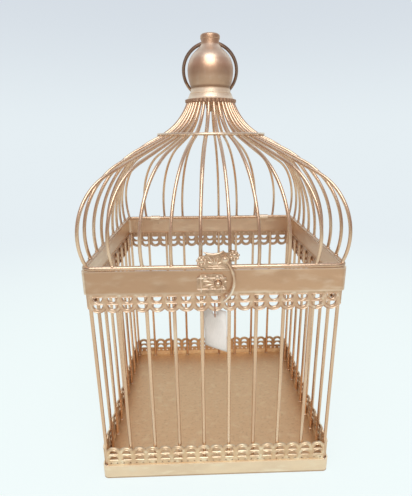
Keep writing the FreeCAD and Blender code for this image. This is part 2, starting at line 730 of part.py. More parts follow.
def main():
    os.makedirs("parts", exist_ok=True)
    for name, shape in pieces().items():
        shape.exportStep(f"parts/{name}.step")
        print(name, "solids", len(shape.Solids), "valid", shape.isValid(), "volume", round(shape.Volume, 1))
    print("lid axis", ROD_LINE, ROD_Z)
    print("ring axis", RING_Z, "rest lean", round(math.degrees(ring_tilt()), 2))
    print("hook axis", PIVOT_X, HOOK_Y, PIVOT_Z)
    print("tag axis", LOOP_X, TAG_Y, TAG_PIVOT_Z)


main()
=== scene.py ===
import json
import math

import bmesh
import bpy
from bpy.props import FloatProperty, FloatVectorProperty, IntProperty, PointerProperty
from mathutils import Matrix, Vector, noise


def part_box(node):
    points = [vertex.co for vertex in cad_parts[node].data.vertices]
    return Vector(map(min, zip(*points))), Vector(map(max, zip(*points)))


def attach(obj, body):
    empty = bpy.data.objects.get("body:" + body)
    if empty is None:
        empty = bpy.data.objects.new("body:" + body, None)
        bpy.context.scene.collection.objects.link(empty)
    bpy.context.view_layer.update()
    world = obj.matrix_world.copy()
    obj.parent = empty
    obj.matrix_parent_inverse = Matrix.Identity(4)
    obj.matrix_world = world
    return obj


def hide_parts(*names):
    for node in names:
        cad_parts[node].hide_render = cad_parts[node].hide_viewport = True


bl_info = {
    "name": "Wire Card Box",
    "version": (1, 0, 0),
    "blender": (4, 5, 0),
    "location": "View3D > Sidebar > Card Box",
    "description": "Gold paint, pierced lace, welds, latch ornament and paper tag of a wire card box",
    "category": "Object",
}

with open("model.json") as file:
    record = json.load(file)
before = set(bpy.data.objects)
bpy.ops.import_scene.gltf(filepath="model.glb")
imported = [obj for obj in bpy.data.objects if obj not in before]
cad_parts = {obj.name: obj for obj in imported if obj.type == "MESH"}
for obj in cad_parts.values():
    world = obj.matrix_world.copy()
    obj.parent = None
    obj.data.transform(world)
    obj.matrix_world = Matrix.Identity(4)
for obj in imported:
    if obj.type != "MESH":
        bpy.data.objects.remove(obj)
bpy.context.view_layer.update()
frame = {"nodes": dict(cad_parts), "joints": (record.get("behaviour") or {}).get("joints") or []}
SIDES = ("front", "right", "back", "left")
MM = 0.001

# The paint's patterns, in cycles per metre, and the height of its orange peel.
FLAKE_SCALE = 2600
PEEL_SCALE = 420
RUN_SCALE = 140
PEEL_HEIGHT = 0.12 * MM

# Welds: their forms as shares of the weld's radius, and the first seed of each kind.
FOOT_WELD, FOOT_SEED = (1.5, 1.5, 0.6), 0
HEAD_WELD, HEAD_SEED = (1.05, 1.05, 1.05), 100
FILLED_WELD, FILLED_SEED = (1.6, 1.6, 0.6), 180
RIB_WELD, RIB_SEED = (1.35, 1.35, 0.8), 200
BACK_RIB_WELD = (1.35, 0.8, 0.8)
HOOP_WELD, HOOP_SEED = (1.1, 1.1, 1.1), 290
CROWN_WELD, CROWN_SEED = (1.1, 1.1, 1.1), 380
PETAL_SEED = 400
SEEDS_PER_SIDE = 20

# The flare at the collar's foot, in millimetres outward and upward.
COLLAR_FLARE = ((-0.3, 3.0), (0.1, 1.9), (0.7, 1.0), (1.4, 0.5), (1.6, 0.25), (1.4, 0.02), (-0.3, 0.02))

# Pressed leaves of the latch plates: direction in degrees and length in millimetres.
HASP_LEAVES = ((158, 7.0), (128, 8.6), (98, 8.4), (66, 6.0), (20, 6.5))
CATCH_LEAVES = ((148, 8.0), (170, 10.0), (192, 10.2), (214, 8.4), (-38, 5.2), (10, 4.6), (40, 4.6))

# Light that reaches the box from all round.
FILL_LIGHT = (0.54, 0.545, 0.55)


class CardBoxSizes(bpy.types.PropertyGroup):
    """Sizes of the small forms on the box"""

    wire_count: IntProperty(
        name="Wires per Side", description="Upright wires between two corner posts", default=8)
    weld: FloatProperty(
        name="Weld", description="Radius of a weld lump", default=1.55 * MM, unit="LENGTH")
    scallops: IntProperty(name="Scallops", description="Scallops along one lace strip", default=17)
    row_a: FloatProperty(
        name="Inner Row", description="Flat side of the inner row of openings, from the scallops' tips",
        default=14.3 * MM, unit="LENGTH")
    row_b: FloatProperty(
        name="Outer Row", description="Flat side of the outer row of openings, from the scallops' tips",
        default=7.9 * MM, unit="LENGTH")
    opening_w: FloatProperty(
        name="Opening Width", description="Width of a lace opening", default=8.6 * MM, unit="LENGTH")
    opening_h: FloatProperty(
        name="Opening Height", description="Height of a lace opening", default=5.0 * MM, unit="LENGTH")
    scallop_rise: FloatProperty(
        name="Scallop Rise", description="Rise of one scallop", default=3.0 * MM, unit="LENGTH")
    lip: FloatProperty(
        name="Lip", description="Half width of the pressed lip round an opening",
        default=0.6 * MM, unit="LENGTH")
    lip_rise: FloatProperty(
        name="Lip Rise", description="Height of the lip above the lace", default=0.4 * MM, unit="LENGTH")
    crown_r: FloatProperty(
        name="Crown Radius", description="Radius of the ribs' ends under the crown",
        default=22.4 * MM, unit="LENGTH")
    crown_spread: FloatProperty(
        name="Crown Spread", description="Share by which the ribs' ends are spaced evenly", subtype="FACTOR",
        default=0.35, min=0, max=1)
    hoop_r: FloatProperty(
        name="Hoop Radius", description="Radius of the ribs under the hoop", default=51.4 * MM, unit="LENGTH")
    rivet_head: FloatProperty(
        name="Rivet Head", description="Diameter of a rivet head", default=4.0 * MM, unit="LENGTH")
    rivet_rise: FloatProperty(
        name="Rivet Rise", description="Height of a rivet head", default=0.9 * MM, unit="LENGTH")
    rivet_shank: FloatProperty(
        name="Rivet Shank", description="Diameter of a rivet", default=2.2 * MM, unit="LENGTH")
    ornament: FloatProperty(
        name="Ornament Relief", description="Height of the pressed leaves", default=0.75 * MM, unit="LENGTH")
    tag_curl: FloatProperty(
        name="Tag Curl", description="Bow of the paper tag at its foot", default=1.6 * MM, unit="LENGTH")
    tag_sheet: FloatProperty(
        name="Tag Sheet", description="Thickness of the paper", default=0.35 * MM, unit="LENGTH")


class CardBoxFinishes(bpy.types.PropertyGroup):
    """Colours of the paint, the bronze ring, the copper loop and the paper"""

    gold: FloatVectorProperty(
        name="Gold", description="Main tone of the paint", subtype="COLOR", size=3,
        default=(0.83, 0.575, 0.375))
    # The deep tone also paints shade: under faces that look down, in creases and in corners.
    gold_deep: FloatVectorProperty(
        name="Deep Gold", description="Tone of thin paint and corners", subtype="COLOR", size=3,
        default=(0.66, 0.415, 0.255))
    # The pale tone also paints highlights: on faces that look up, on rims and on the finial.
    gold_pale: FloatVectorProperty(
        name="Pale Gold", description="Tone of thick paint and rubbed edges", subtype="COLOR", size=3,
        default=(0.95, 0.80, 0.615))
    bronze: FloatVectorProperty(
        name="Bronze", description="Tone of the carrying ring", subtype="COLOR", size=3,
        default=(0.36, 0.235, 0.17))
    copper: FloatVectorProperty(
        name="Copper", description="Tone of the tag's loop", subtype="COLOR", size=3,
        default=(0.60, 0.27, 0.13))
    paper: FloatVectorProperty(
        name="Paper", description="Tone of the tag", subtype="COLOR", size=3,
        default=(0.95, 0.875, 0.81))
    # Share of painted highlight on faces that look up.
    top_highlight: FloatProperty(
        name="Top Coat", description="How much paler the paint is on faces that look up", subtype="FACTOR",
        default=0.6, min=0, max=1)
    satin: FloatProperty(
        name="Satin", description="Roughness of the paint", subtype="FACTOR", default=0.36, min=0, max=1)


class CardBoxStage(bpy.types.PropertyGroup):
    """Camera, floor and lamps"""

    eye: FloatVectorProperty(
        name="Eye", description="Place of the camera", subtype="TRANSLATION", unit="LENGTH", size=3,
        default=(-0.01041, -0.42006, 0.31499))
    pitch: FloatProperty(
        name="Pitch", description="Downward tilt of the camera", subtype="ANGLE", default=0.3128)
    yaw: FloatProperty(
        name="Yaw", description="Turn of the camera to the right", subtype="ANGLE", default=0.0347)
    roll: FloatProperty(
        name="Roll", description="Roll of the camera", subtype="ANGLE", default=-0.0059)
    lens: FloatProperty(
        name="Lens", description="Focal length on a 36 mm high sensor", unit="CAMERA", default=28.957)
    shift: FloatVectorProperty(
        name="Shift", description="Offset of the picture", size=2, default=(-0.0199, 0.0377))
    floor: FloatVectorProperty(
        name="Floor", description="Tone of the floor", subtype="COLOR", size=3,
        default=(0.91, 1.0, 1.0))
    backdrop: FloatVectorProperty(
        name="Backdrop", description="Tone of the wall behind", subtype="COLOR", size=3,
        default=(0.67, 0.725, 0.785))
    skyline: FloatVectorProperty(
        name="Skyline", description="Tone where the floor meets the wall", subtype="COLOR", size=3,
        default=(0.79, 0.86, 0.895))
    room: FloatVectorProperty(
        name="Room", description="Tone of the room before the box", subtype="COLOR", size=3,
        default=(0.33, 0.255, 0.265))
    lamp: FloatProperty(name="Lamp", description="Strength of the upper lamp", unit="POWER", default=7.5)


class Value:
    """A value that varies over a surface; sums written with it become Math nodes."""

    def __init__(self, finish, socket):
        self.finish = finish
        self.socket = socket

    def sum(self, operation, first, second=0.0):
        return self.finish.node("ShaderNodeMath", {"operation": operation}, {0: first, 1: second})

    def __add__(self, other):
        return self.sum("ADD", self, other)

    def __radd__(self, other):
        return self.sum("ADD", other, self)

    def __sub__(self, other):
        return self.sum("SUBTRACT", self, other)

    def __rsub__(self, other):
        return self.sum("SUBTRACT", other, self)

    def __mul__(self, other):
        return self.sum("MULTIPLY", self, other)

    def __rmul__(self, other):
        return self.sum("MULTIPLY", other, self)

    def __pow__(self, other):
        return self.sum("POWER", self, other)

    def __abs__(self):
        return self.sum("ABSOLUTE", self)

    def least(self, other):
        return self.sum("MINIMUM", self, other)

    def most(self, other):
        return self.sum("MAXIMUM", self, other)


class Finish:
    """The node tree of one material or of the world."""

    def __init__(self, owner):
        owner.use_nodes = True
        self.tree = owner.node_tree
        self.tree.nodes.clear()

    def node(self, kind, settings=None, inputs=None, output=0):
        """Adds a node, sets it up, feeds its sockets and returns one of its outputs."""
        made = self.tree.nodes.new(kind)
        for key, setting in (settings or {}).items():
            setattr(made, key, setting)
        for key, given in (inputs or {}).items():
            socket = self.socket(made.inputs, key)
            if isinstance(given, Value):
                self.tree.links.new(given.socket, socket)
            elif isinstance(given, (tuple, list)) and len(given) == 3 and socket.type == "RGBA":
                socket.default_value = (*given, 1.0)
            else:
                socket.default_value = given
        return Value(self, self.socket(made.outputs, output)) if made.outputs else None

    @staticmethod
    def socket(sockets, key):
        if isinstance(key, int):
            return sockets[key]
        return next(s for s in sockets if key in (s.identifier, s.name))

    def place(self):
        """A point's place in the box's own frame."""
        return self.node("ShaderNodeTexCoord", output="Object")

    def parts(self, vector):
        """The three parts of a vector."""
        return [self.node("ShaderNodeSeparateXYZ", None, {0: vector}, k) for k in range(3)]

    def grain(self, scale, detail, stretch=(1, 1, 1)):
        """Cloudy pattern with its size in cycles per metre, stretched along the axes."""
        spot = self.node("ShaderNodeVectorMath", {"operation": "MULTIPLY"}, {0: self.place(), 1: stretch})
        return self.node(
            "ShaderNodeTexNoise", None, {"Vector": spot, "Scale": scale, "Detail": detail}, "Fac")

    def ease(self, value, start, end, low=0.0, high=1.0):
        """Smooth step of a value from low to high."""
        return self.node("ShaderNodeMapRange", {"interpolation_type": "SMOOTHSTEP"}, {
            "Value": value, "From Min": start, "From Max": end, "To Min": low, "To Max": high})

    def tint(self, share, first, second):
        """Mix of two colours."""
        return self.node("ShaderNodeMix", {"data_type": "RGBA"}, {
            "Factor_Float": share, "A_Color": first, "B_Color": second}, "Result_Color")

    def relief(self, height, depth, strength):
        """Normal of a rough surface."""
        return self.node("ShaderNodeBump", None, {"Height": height, "Distance": depth, "Strength": strength})

    def surface(self, **sockets):
        """Ends the tree in a Principled shader fed by sockets named with underscores."""
        shader = self.node("ShaderNodeBsdfPrincipled", None, {
            key.replace("_", " "): value for key, value in sockets.items()})
        self.node("ShaderNodeOutputMaterial", None, {"Surface": shader})


def new_finish(name):
    """A new material and its node tree."""
    material = bpy.data.materials.new(name)
    return material, Finish(material)


def gold_paint(name, satin_shift, stretch, shade, metal=0.86, tone_shift=0.0, cloud_scale=38,
               peel_depth=0.55, top=1.0, cast=(1, 1, 1), dust=0.0):
    """Sprayed metallic gold with a cloudy tone, paler on top as painted highlight and deeper below as painted
    shade, flake and orange peel.

    The shade gives the shares of deep paint and painted shade, and of rubbed paint and painted highlight,
    over the piece.
    """
    tones = bpy.context.scene.card_box_finishes
    gold, gold_deep, gold_pale = (
        tuple(part * share for part, share in zip(tone, cast))
        for tone in (tones.gold, tones.gold_deep, tones.gold_pale))
    gold_crease = tuple(0.62 * part for part in gold_deep)
    material, finish = new_finish(name)
    cloud = finish.grain(cloud_scale, 4, stretch)
    flake = finish.grain(FLAKE_SCALE, 1)
    peel = finish.grain(PEEL_SCALE, 2, stretch)
    runs = finish.grain(RUN_SCALE, 3, stretch)
    upward = finish.parts(finish.node("ShaderNodeTexCoord", output="Normal"))[2]
    # The deep share carries painted shade besides stains, and the rubbed share painted highlight besides
    # wear.
    deep, rubbed = shade(finish)
    low_tone = finish.ease(cloud, 0.32 + tone_shift, 0.62 + tone_shift)
    colour = finish.tint(low_tone, gold_deep, gold)
    # Painted shade: faces that look down are deeper.
    colour = finish.tint(finish.ease(upward, 0.0, -0.8) * 0.6, colour, gold_deep)
    pale_share = finish.ease(runs, 0.5, 0.78) * 0.4 + finish.ease(flake, 0.56, 0.74) * 0.3
    # Painted highlight: faces that look up are paler, by top and by the finishes' highlight setting.
    pale_share = (pale_share + finish.ease(upward, 0.05, 0.75) * (top * tones.top_highlight) + rubbed).least(1)
    colour = finish.tint(pale_share, colour, gold_pale)
    colour = finish.tint(deep, colour, gold_crease)
    rough = tones.satin + satin_shift + 0.16 * (cloud - 0.5) + 0.12 * (flake - 0.5) + 0.14 * deep
    normal = finish.relief(0.5 * peel + 0.35 * runs + 0.15 * flake, PEEL_HEIGHT, peel_depth)
    if dust:
        metal = metal * (1 - dust * finish.ease(upward, 0.5, 0.9))
    finish.surface(Base_Color=colour, Metallic=metal, Roughness=rough, Normal=normal)
    return material


def pan_shade(finish):
    """Painted shade with dust along the edges of the floor, scuffs toward its middle."""
    x, y = finish.parts(finish.place())[:2]
    # Painted shade with dust, darker toward the skirt.
    edge_shade = finish.ease(abs(x).most(abs(y)), 96 * MM, 108 * MM)
    scuff = finish.ease(finish.grain(90, 5, (1, 6, 1)), 0.6, 0.8)
    return edge_shade * (0.1 + 0.4 * finish.grain(120, 3)), (0.12 + scuff * 0.5) * (1 - edge_shade)


def skirt_shade(finish):
    """Pale outside of the skirt as painted highlight, and a dark lower rim that is partly painted contact
    shadow.
    """
    z = finish.parts(finish.place())[2]
    # Painted contact shadow, with a dark rim, at the foot of the skirt.
    rim = finish.ease(z, 1.8 * MM, 0.6 * MM)
    stain = finish.ease(finish.grain(70, 4, (0.4, 0.4, 1)), 0.6, 0.8)
    # The pale outside is painted highlight.
    return (stain * 0.2 + rim * 0.8).least(1), 0.4 * (1 - rim) + 0.1 * finish.grain(200, 2)


def band_shade(finish):
    """Rubbed rims of the band, the lower one also a painted highlight, paler inner faces as painted light and
    a darker outside toward the left end.
    """
    x, y, z = finish.parts(finish.place())
    low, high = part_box("top_band")
    # The pale rims are wear, and along the lower edge also a painted highlight.
    low_rub = finish.ease(z, low.z + 2.0 * MM, low.z + 0.4 * MM, 0, 0.6)
    high_rub = finish.ease(z, high.z - 1.2 * MM, high.z, 0, 0.8)
    stain = finish.ease(finish.grain(55, 4, (0.4, 0.4, 1)), 0.56, 0.8)
    inner = finish.ease(abs(x).most(abs(y)), high.x - 0.3 * MM, high.x - 0.9 * MM)
    # Painted light: the inner faces are paler, the left one most.
    inner_painted_light = inner * finish.ease(x, -90 * MM, -100 * MM, 0.3, 0.6)
    # Darker toward the left end of the outside.
    thin = finish.ease(x, 80 * MM, -50 * MM) * (1 - inner)
    rubbed = (low_rub + high_rub) * (0.35 + 0.65 * finish.grain(200, 2))
    return stain * 0.25 + thin * 0.3, (rubbed + inner_painted_light).least(1)


def wire_shade(finish):
    """Darker where the upright wires meet the strips and the floor."""
    z = finish.parts(finish.place())[2]
    low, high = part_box("corner_posts")
    ends = finish.ease(z, low.z + 12 * MM, low.z) + finish.ease(z, high.z - 12 * MM, high.z)
    rub = finish.ease(finish.grain(60, 4, (1, 1, 0.2)), 0.58, 0.75)
    return ends * (0.05 + 0.3 * finish.grain(300, 2)), rub * 0.5


def lace_shade(finish):
    """Painted shade on the inner faces of the pierced strips, dark specks, rubbed outer edges and a pale foot
    as painted light.
    """
    x, y, z = finish.parts(finish.place())
    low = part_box("lower_lace_front")[0].z
    # Painted shade: the inner faces of the strips are darker.
    inside_shade = finish.ease(abs(x).most(abs(y)), 108.6 * MM, 107.6 * MM)
    # Painted light: the foot of each strip is paler.
    foot = finish.ease(z, low + 6.8 * MM, low + 4.5 * MM)
    specks = finish.ease(finish.grain(260, 3), 0.56, 0.8) * 0.4
    rub = finish.ease(finish.grain(180, 2), 0.5, 0.75) * 0.6
    return (inside_shade * 0.4 + specks) * (1 - foot), (rub + foot * 0.6).least(1)


def dome_shade(finish):
    """Darker at the feet of the ribs and at the hoop."""
    z = finish.parts(finish.place())[2]
    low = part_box("dome_hoop")[0]
    foot = finish.ease(z, 228 * MM, 214 * MM) * 0.5
    hoop = finish.ease(abs(z - low.z), 8 * MM, 1 * MM) * 0.12
    rub = finish.ease(finish.grain(75, 4), 0.6, 0.78)
    return (foot + hoop) * (0.3 + 0.7 * finish.grain(240, 2)), rub * 0.5


def hoop_shade(finish):
    """Bright hoop as painted highlight, with a few darker places."""
    # Painted highlight: the whole hoop is paler.
    return finish.ease(finish.grain(110, 3), 0.55, 0.75) * 0.3, 0.4 + 0.5 * finish.grain(60, 3)


def finial_shade(finish):
    """Painted shade in the creases, on the lower ball, on the knob and on the crown plate under the collar, a
    dark band of painted reflection across the ball's middle, and painted highlight on the collar, the upper
    ball and the neck.
    """
    z = finish.parts(finish.place())[2]
    ball_low, ball_high = (corner.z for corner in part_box("finial_ball"))
    crown_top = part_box("crown_plate")[1].z
    middle = (ball_low + ball_high) / 2
    # Painted shade in the creases at the foot and the top of the ball.
    foot_crease_shade = finish.ease(abs(z - ball_low - 0.6 * MM), 2.2 * MM, 0.2 * MM)
    neck_crease_shade = finish.ease(abs(z - ball_high), 3.0 * MM, 0.0) * 0.3
    # Painted shade on the crown plate under the collar.
    crown = finish.ease(z, crown_top + 0.8 * MM, crown_top - 0.4 * MM)
    # Painted shade over the lower half of the ball.
    belly_shade = finish.ease(z, middle, ball_low + 6.0 * MM) * finish.ease(z, ball_low, ball_low + 1.0 * MM)
    # Painted highlight on the collar.
    collar = finish.ease(z, ball_low, ball_low - 1.0 * MM) * (1 - crown)
    # Painted highlight over the upper half of the ball.
    cap_highlight = finish.ease(z, middle, ball_high)
    # Painted reflection of the dark room: a dark band across the ball.
    waist_reflection = finish.ease(abs(z - ball_low - 14.5 * MM), 6.5 * MM, 1.0 * MM)
    # Painted highlight on the neck.
    neck = finish.ease(z, ball_high - 9.0 * MM, ball_high - 4.0 * MM)
    # Painted shade on the knob.
    knob = finish.ease(z, ball_high + 4.0 * MM, ball_high + 7.0 * MM)
    worn = finish.ease(finish.grain(45, 5), 0.6, 0.8) * 0.3
    deep = (foot_crease_shade + neck_crease_shade) * 0.8 + crown * (0.2 + 0.7 * finish.grain(150, 2))
    deep = deep + belly_shade * 0.45 + waist_reflection * 0.5 + knob * 0.35
    return deep.least(1), (worn + 0.6 * collar + (0.3 * cap_highlight + 0.5 * neck) * (1 - knob)).least(1)


def latch_shade(finish):
    """Pressed ornament made bright as painted highlight, with dark specks."""
    ground = finish.ease(finish.grain(420, 3), 0.48, 0.66)
    return ground * 0.35, 0.25 + finish.ease(finish.grain(330, 2), 0.54, 0.72) * 0.6


def ground_shade(finish):
    """Darker ground between the pressed leaves, as painted shade."""
    return 0.35 + 0.45 * finish.ease(finish.grain(420, 3), 0.42, 0.66), finish.grain(330, 2) * 0.1


def hook_shade(finish):
    """Darker, uneven paint on the bow of the hook and a pale tip."""
    z = finish.parts(finish.place())[2]
    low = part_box("latch_hook")[0]
    tip = finish.ease(z, low.z + 24 * MM, low.z + 6 * MM)
    return (1 - tip) * (0.15 + 0.5 * finish.ease(finish.grain(240, 3), 0.5, 0.7)), tip * 0.9


def ring_bronze():
    """Dark bronze of the carrying ring, rubbed bright in spots."""
    tones = bpy.context.scene.card_box_finishes
    material, finish = new_finish("ring_bronze")
    cloud = finish.grain(120, 4)
    rub = finish.ease(finish.grain(60, 3), 0.55, 0.72)
    colour = finish.tint(cloud, tuple(0.6 * part for part in tones.bronze), tuple(tones.bronze))
    colour = finish.tint(rub * 0.55, colour, tuple(tones.gold))
    finish.surface(
        Base_Color=colour, Metallic=0.9, Roughness=0.42 + 0.2 * (cloud - 0.5) - 0.1 * rub,
        Normal=finish.relief(finish.grain(900, 2), 0.1 * MM, 0.4))
    return material


def loop_copper():
    """Drawn copper wire of the tag's loop."""
    tones = bpy.context.scene.card_box_finishes
    material, finish = new_finish("loop_copper")
    cloud = finish.grain(300, 3)
    colour = finish.tint(cloud, tuple(0.55 * part for part in tones.copper), tuple(tones.copper))
    finish.surface(
        Base_Color=colour, Metallic=0.9, Roughness=0.34 + 0.2 * (cloud - 0.5),
        Normal=finish.relief(finish.grain(1500, 2), 0.05 * MM, 0.4))
    return material


def tag_paper():
    """Card stock with fibres, a slight tooth and soft stains at its foot."""
    tones = bpy.context.scene.card_box_finishes
    material, finish = new_finish("tag_card")
    fibre = finish.grain(900, 3, (1, 1, 0.25))
    tooth = finish.grain(3200, 2)
    cloud = finish.grain(60, 4)
    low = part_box("hang_tag")[0]
    foot = finish.ease(finish.parts(finish.place())[2], low.z + 10 * MM, low.z)
    fibre_tone = tuple(0.86 * part for part in tones.paper)
    stain_tone = (0.64, 0.58, 0.50)
    colour = finish.tint(finish.ease(fibre, 0.4, 0.68) * 0.3, tuple(tones.paper), fibre_tone)
    colour = finish.tint(finish.ease(cloud, 0.4, 0.7) * 0.25 + foot * 0.2, colour, stain_tone)
    finish.surface(
        Base_Color=colour, Roughness=0.82 + 0.12 * (tooth - 0.5), Specular_IOR_Level=0.3,
        Normal=finish.relief(0.6 * fibre + 0.4 * tooth, 0.06 * MM, 0.5))
    return material


def dress(material, *nodes):
    """Gives CAD nodes a finish."""
    for name in nodes:
        slots = frame["nodes"][name].data.materials
        slots.clear()
        slots.append(material)


def four(name):
    """The names of a piece's four sides."""
    return [f"{name}_{side}" for side in SIDES]


def add_piece(name, form, body, material, sharp=math.radians(50)):
    """Turns a worked form into a piece of the box that rides on a body."""
    bmesh.ops.recalc_face_normals(form, faces=form.faces)
    mesh = bpy.data.meshes.new(name)
    form.to_mesh(mesh)
    form.free()
    mesh.shade_smooth()
    mesh.set_sharp_from_angle(angle=sharp)
    mesh.materials.append(material)
    made = bpy.data.objects.new(name, mesh)
    bpy.context.scene.collection.objects.link(made)
    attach(made, body)
    return made


def skin(form, rings, closed=False):
    """Faces over a run of rings with equal counts of points."""
    rows = [[form.verts.new(point) for point in ring] for ring in rings]
    pairs = list(zip(rows, rows[1:]))
    if closed:
        pairs.append((rows[-1], rows[0]))
    for first, second in pairs:
        for k in range(len(first)):
            j = (k + 1) % len(first)
            form.faces.new((first[k], first[j], second[j], second[k]))
    if not closed:
        form.faces.new(rows[0])
        form.faces.new(rows[-1])


def bead(form, path, y, width, rise, turn=Matrix(), closed=False, taper=False, sides=8):
    """Rounded ridge along a path of (x, z) points in an upright plane, thinner at its ends if tapered."""
    rings = []
    count = len(path)
    for k, (x, z) in enumerate(path):
        before = path[k - 1] if closed or k else path[0]
        after = path[(k + 1) % count] if closed or k < count - 1 else path[-1]
        along = Vector((after[0] - before[0], after[1] - before[1])).normalized()
        share = math.sin(math.pi * (0.06 + 0.88 * k / (count - 1))) ** 0.7 if taper else 1.0
        ring = []
        for s in range(sides):
            angle = 2 * math.pi * s / sides
            across = width * share * math.cos(angle)
            proud = rise * share * math.sin(angle)
            ring.append(turn @ Vector((x - along.y * across, y - proud, z + along.x * across)))
        rings.append(ring)
    skin(form, rings, closed)


def lathe(form, profile, place, axis, sides=24):
    """Turned form from (radius, height) points about an axis, closed where its ends reach the axis."""
    turn = Vector((0, 0, 1)).rotation_difference(Vector(axis)).to_matrix()
    rings = []
    for radius, height in profile:
        ring = []
        for s in range(sides):
            angle = 2 * math.pi * s / sides
            point = Vector((radius * math.cos(angle), radius * math.sin(angle), height))
            ring.append(Vector(place) + turn @ point)
        rings.append(ring)
    skin(form, rings)


def turned_ring(form, radius, z, bead_r, sides=96, round_sides=10):
    """Round bead about the upright axis."""
    rings = []
    for k in range(sides):
        angle = 2 * math.pi * k / sides
        out = Vector((math.cos(angle), math.sin(angle), 0))
        ring = []
        for s in range(round_sides):
            turn = 2 * math.pi * s / round_sides
            height = z + bead_r * math.sin(turn)
            ring.append(out * (radius + bead_r * math.cos(turn)) + Vector((0, 0, height)))
        rings.append(ring)
    skin(form, rings, closed=True)


def weld_lump(form, place, reach, seed):
    """Uneven lump of weld metal under the paint, with its reach along the three axes."""
    lump = bmesh.ops.create_icosphere(form, subdivisions=2, radius=1.0)
    for vert in lump["verts"]:
        swell = 1 + 0.22 * noise.noise(vert.co * 1.7 + Vector((seed * 3.1, seed * 1.7, 0)))
        vert.co = Vector(place) + Vector(part * size * swell for part, size in zip(vert.co, reach))


def scaled(shape, size):
    return [part * size for part in shape]


def quarter(k):
    """Turn from the front to another side."""
    return Matrix.Rotation(k * math.pi / 2, 4, "Z")


def arc_points(first, middle, last, count):
    """Points on the arc through three (x, z) points."""
    ax, az, bx, bz, cx, cz = *first, *middle, *last
    a_square, b_square, c_square = ax ** 2 + az ** 2, bx ** 2 + bz ** 2, cx ** 2 + cz ** 2
    d = 2 * (ax * (bz - cz) + bx * (cz - az) + cx * (az - bz))
    ux = (a_square * (bz - cz) + b_square * (cz - az) + c_square * (az - bz)) / d
    uz = (a_square * (cx - bx) + b_square * (ax - cx) + c_square * (bx - ax)) / d
    radius = math.hypot(ax - ux, az - uz)
    start = math.atan2(az - uz, ax - ux)
    way = 1 if d > 0 else -1
    sweep = (math.atan2(cz - uz, cx - ux) - start) * way % (2 * math.pi)
    return [(ux + radius * math.cos(start + way * sweep * k / count),
             uz + radius * math.sin(start + way * sweep * k / count)) for k in range(count + 1)]


